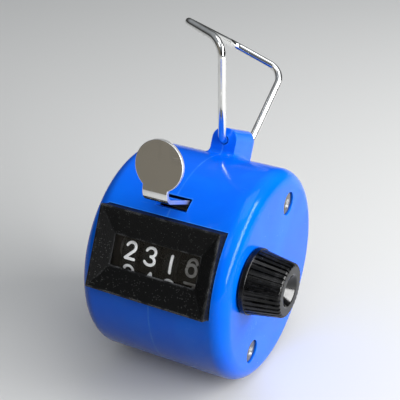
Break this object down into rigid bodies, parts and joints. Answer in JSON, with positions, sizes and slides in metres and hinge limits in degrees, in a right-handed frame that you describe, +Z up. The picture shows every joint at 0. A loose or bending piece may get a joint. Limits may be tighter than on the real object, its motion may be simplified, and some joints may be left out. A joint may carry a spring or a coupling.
{
  "type": "hand tally counter",
  "caption": "Drum-shaped hand tally counter in two plastic halves, with a reading window, number wheels, thumb lever, reset knob and a folding wire finger loop.",
  "frame": {"origin": "middle of the flat left end face, on the drum's axis", "axes": "+X along the drum's axis towards the reset knob, -Y to the front where the window is, +Z up; the counter lies back on its round side by 25 degrees, as it is read from above"},
  "size_m": [0.0411, 0.0655, 0.0695],
  "materials": {
    "case_blue": "glossy moulded plastic",
    "bezel_black": "grained moulded plastic",
    "knob_black": "satin moulded plastic",
    "wheel_black": "dark plastic with white numerals",
    "clear_pane": "clear plastic",
    "bright_plate": "bright plated steel",
    "zinc_steel": "zinc plated steel",
    "spring_steel": "blued spring steel",
    "ratchet_brass": "stamped brass",
    "white_nylon": "moulded nylon"
  },
  "bodies": {
    "case": {"left_case": "case_blue", "right_case": "case_blue", "case_screws": "zinc_steel", "bezel": "bezel_black", "window_pane": "clear_pane", "frame_plate_left": "zinc_steel", "frame_plate_right": "zinc_steel", "frame_spacers": "zinc_steel", "shaft_bush": "white_nylon", "pinion_shaft": "zinc_steel", "pinion_bushes": "white_nylon", "detent_spring": "spring_steel", "lever_pin": "zinc_steel", "lever_spring": "spring_steel"},
    "knob": {"reset_knob": "knob_black", "number_shaft": "zinc_steel", "shaft_clip": "spring_steel"},
    "thousands_wheel": {"number_wheel_thousands": "wheel_black"},
    "hundreds_wheel": {"number_wheel_hundreds": "wheel_black"},
    "tens_wheel": {"number_wheel_tens": "wheel_black"},
    "units_wheel": {"number_wheel_units": "wheel_black", "ratchet_wheel": "ratchet_brass"},
    "thousands_pinion": {"carry_pinion_thousands": "white_nylon"},
    "hundreds_pinion": {"carry_pinion_hundreds": "white_nylon"},
    "tens_pinion": {"carry_pinion_tens": "white_nylon"},
    "lever": {"thumb_lever": "bright_plate", "drive_pawl": "spring_steel", "pawl_rivet": "zinc_steel"},
    "loop": {"finger_loop": "bright_plate"}
  },
  "joints": [
    {"name": "lever_press", "type": "hinge", "parent": "case", "child": "lever", "pos_m": [0.0164, -0.00531, 0.01511], "axis": [1, 0, 0], "range_deg": [0, 8.5], "stiffness_Nm_per_rad": 0.04, "springref_deg": -34.38, "deforming": ["lever_spring", "drive_pawl"]},
    {"name": "knob_turn", "type": "hinge", "parent": "case", "child": "knob", "pos_m": [0.0364, -0.01082, 0.00565], "axis": [1, 0, 0], "continuous": true},
    {"name": "thousands_spin", "type": "hinge", "parent": "case", "child": "thousands_wheel", "pos_m": [0.00965, -0.01082, 0.00565], "axis": [1, 0, 0], "continuous": true},
    {"name": "hundreds_spin", "type": "hinge", "parent": "case", "child": "hundreds_wheel", "pos_m": [0.01435, -0.01082, 0.00565], "axis": [1, 0, 0], "continuous": true},
    {"name": "tens_spin", "type": "hinge", "parent": "case", "child": "tens_wheel", "pos_m": [0.01905, -0.01082, 0.00565], "axis": [1, 0, 0], "continuous": true},
    {"name": "units_spin", "type": "hinge", "parent": "case", "child": "units_wheel", "pos_m": [0.02375, -0.01082, 0.00565], "axis": [1, 0, 0], "continuous": true, "deforming": ["detent_spring", "drive_pawl"]},
    {"name": "thousands_pinion_spin", "type": "hinge", "parent": "case", "child": "thousands_pinion", "pos_m": [0.012, -0.0027, 0.00187], "axis": [1, 0, 0], "continuous": true},
    {"name": "hundreds_pinion_spin", "type": "hinge", "parent": "case", "child": "hundreds_pinion", "pos_m": [0.0167, -0.0027, 0.00187], "axis": [1, 0, 0], "continuous": true},
    {"name": "tens_pinion_spin", "type": "hinge", "parent": "case", "child": "tens_pinion", "pos_m": [0.0214, -0.0027, 0.00187], "axis": [1, 0, 0], "continuous": true},
    {"name": "loop_swing", "type": "hinge", "parent": "case", "child": "loop", "pos_m": [0.0164, 0.01608, 0.02075], "axis": [0, 0.9063, -0.4226], "range_deg": [-90, 90]}
  ],
  "couplings": [
    {"joint": "thousands_pinion_spin", "follows": "thousands_spin", "ratio": -2.5},
    {"joint": "hundreds_pinion_spin", "follows": "hundreds_spin", "ratio": -2.5},
    {"joint": "tens_pinion_spin", "follows": "tens_spin", "ratio": -2.5}
  ]
}
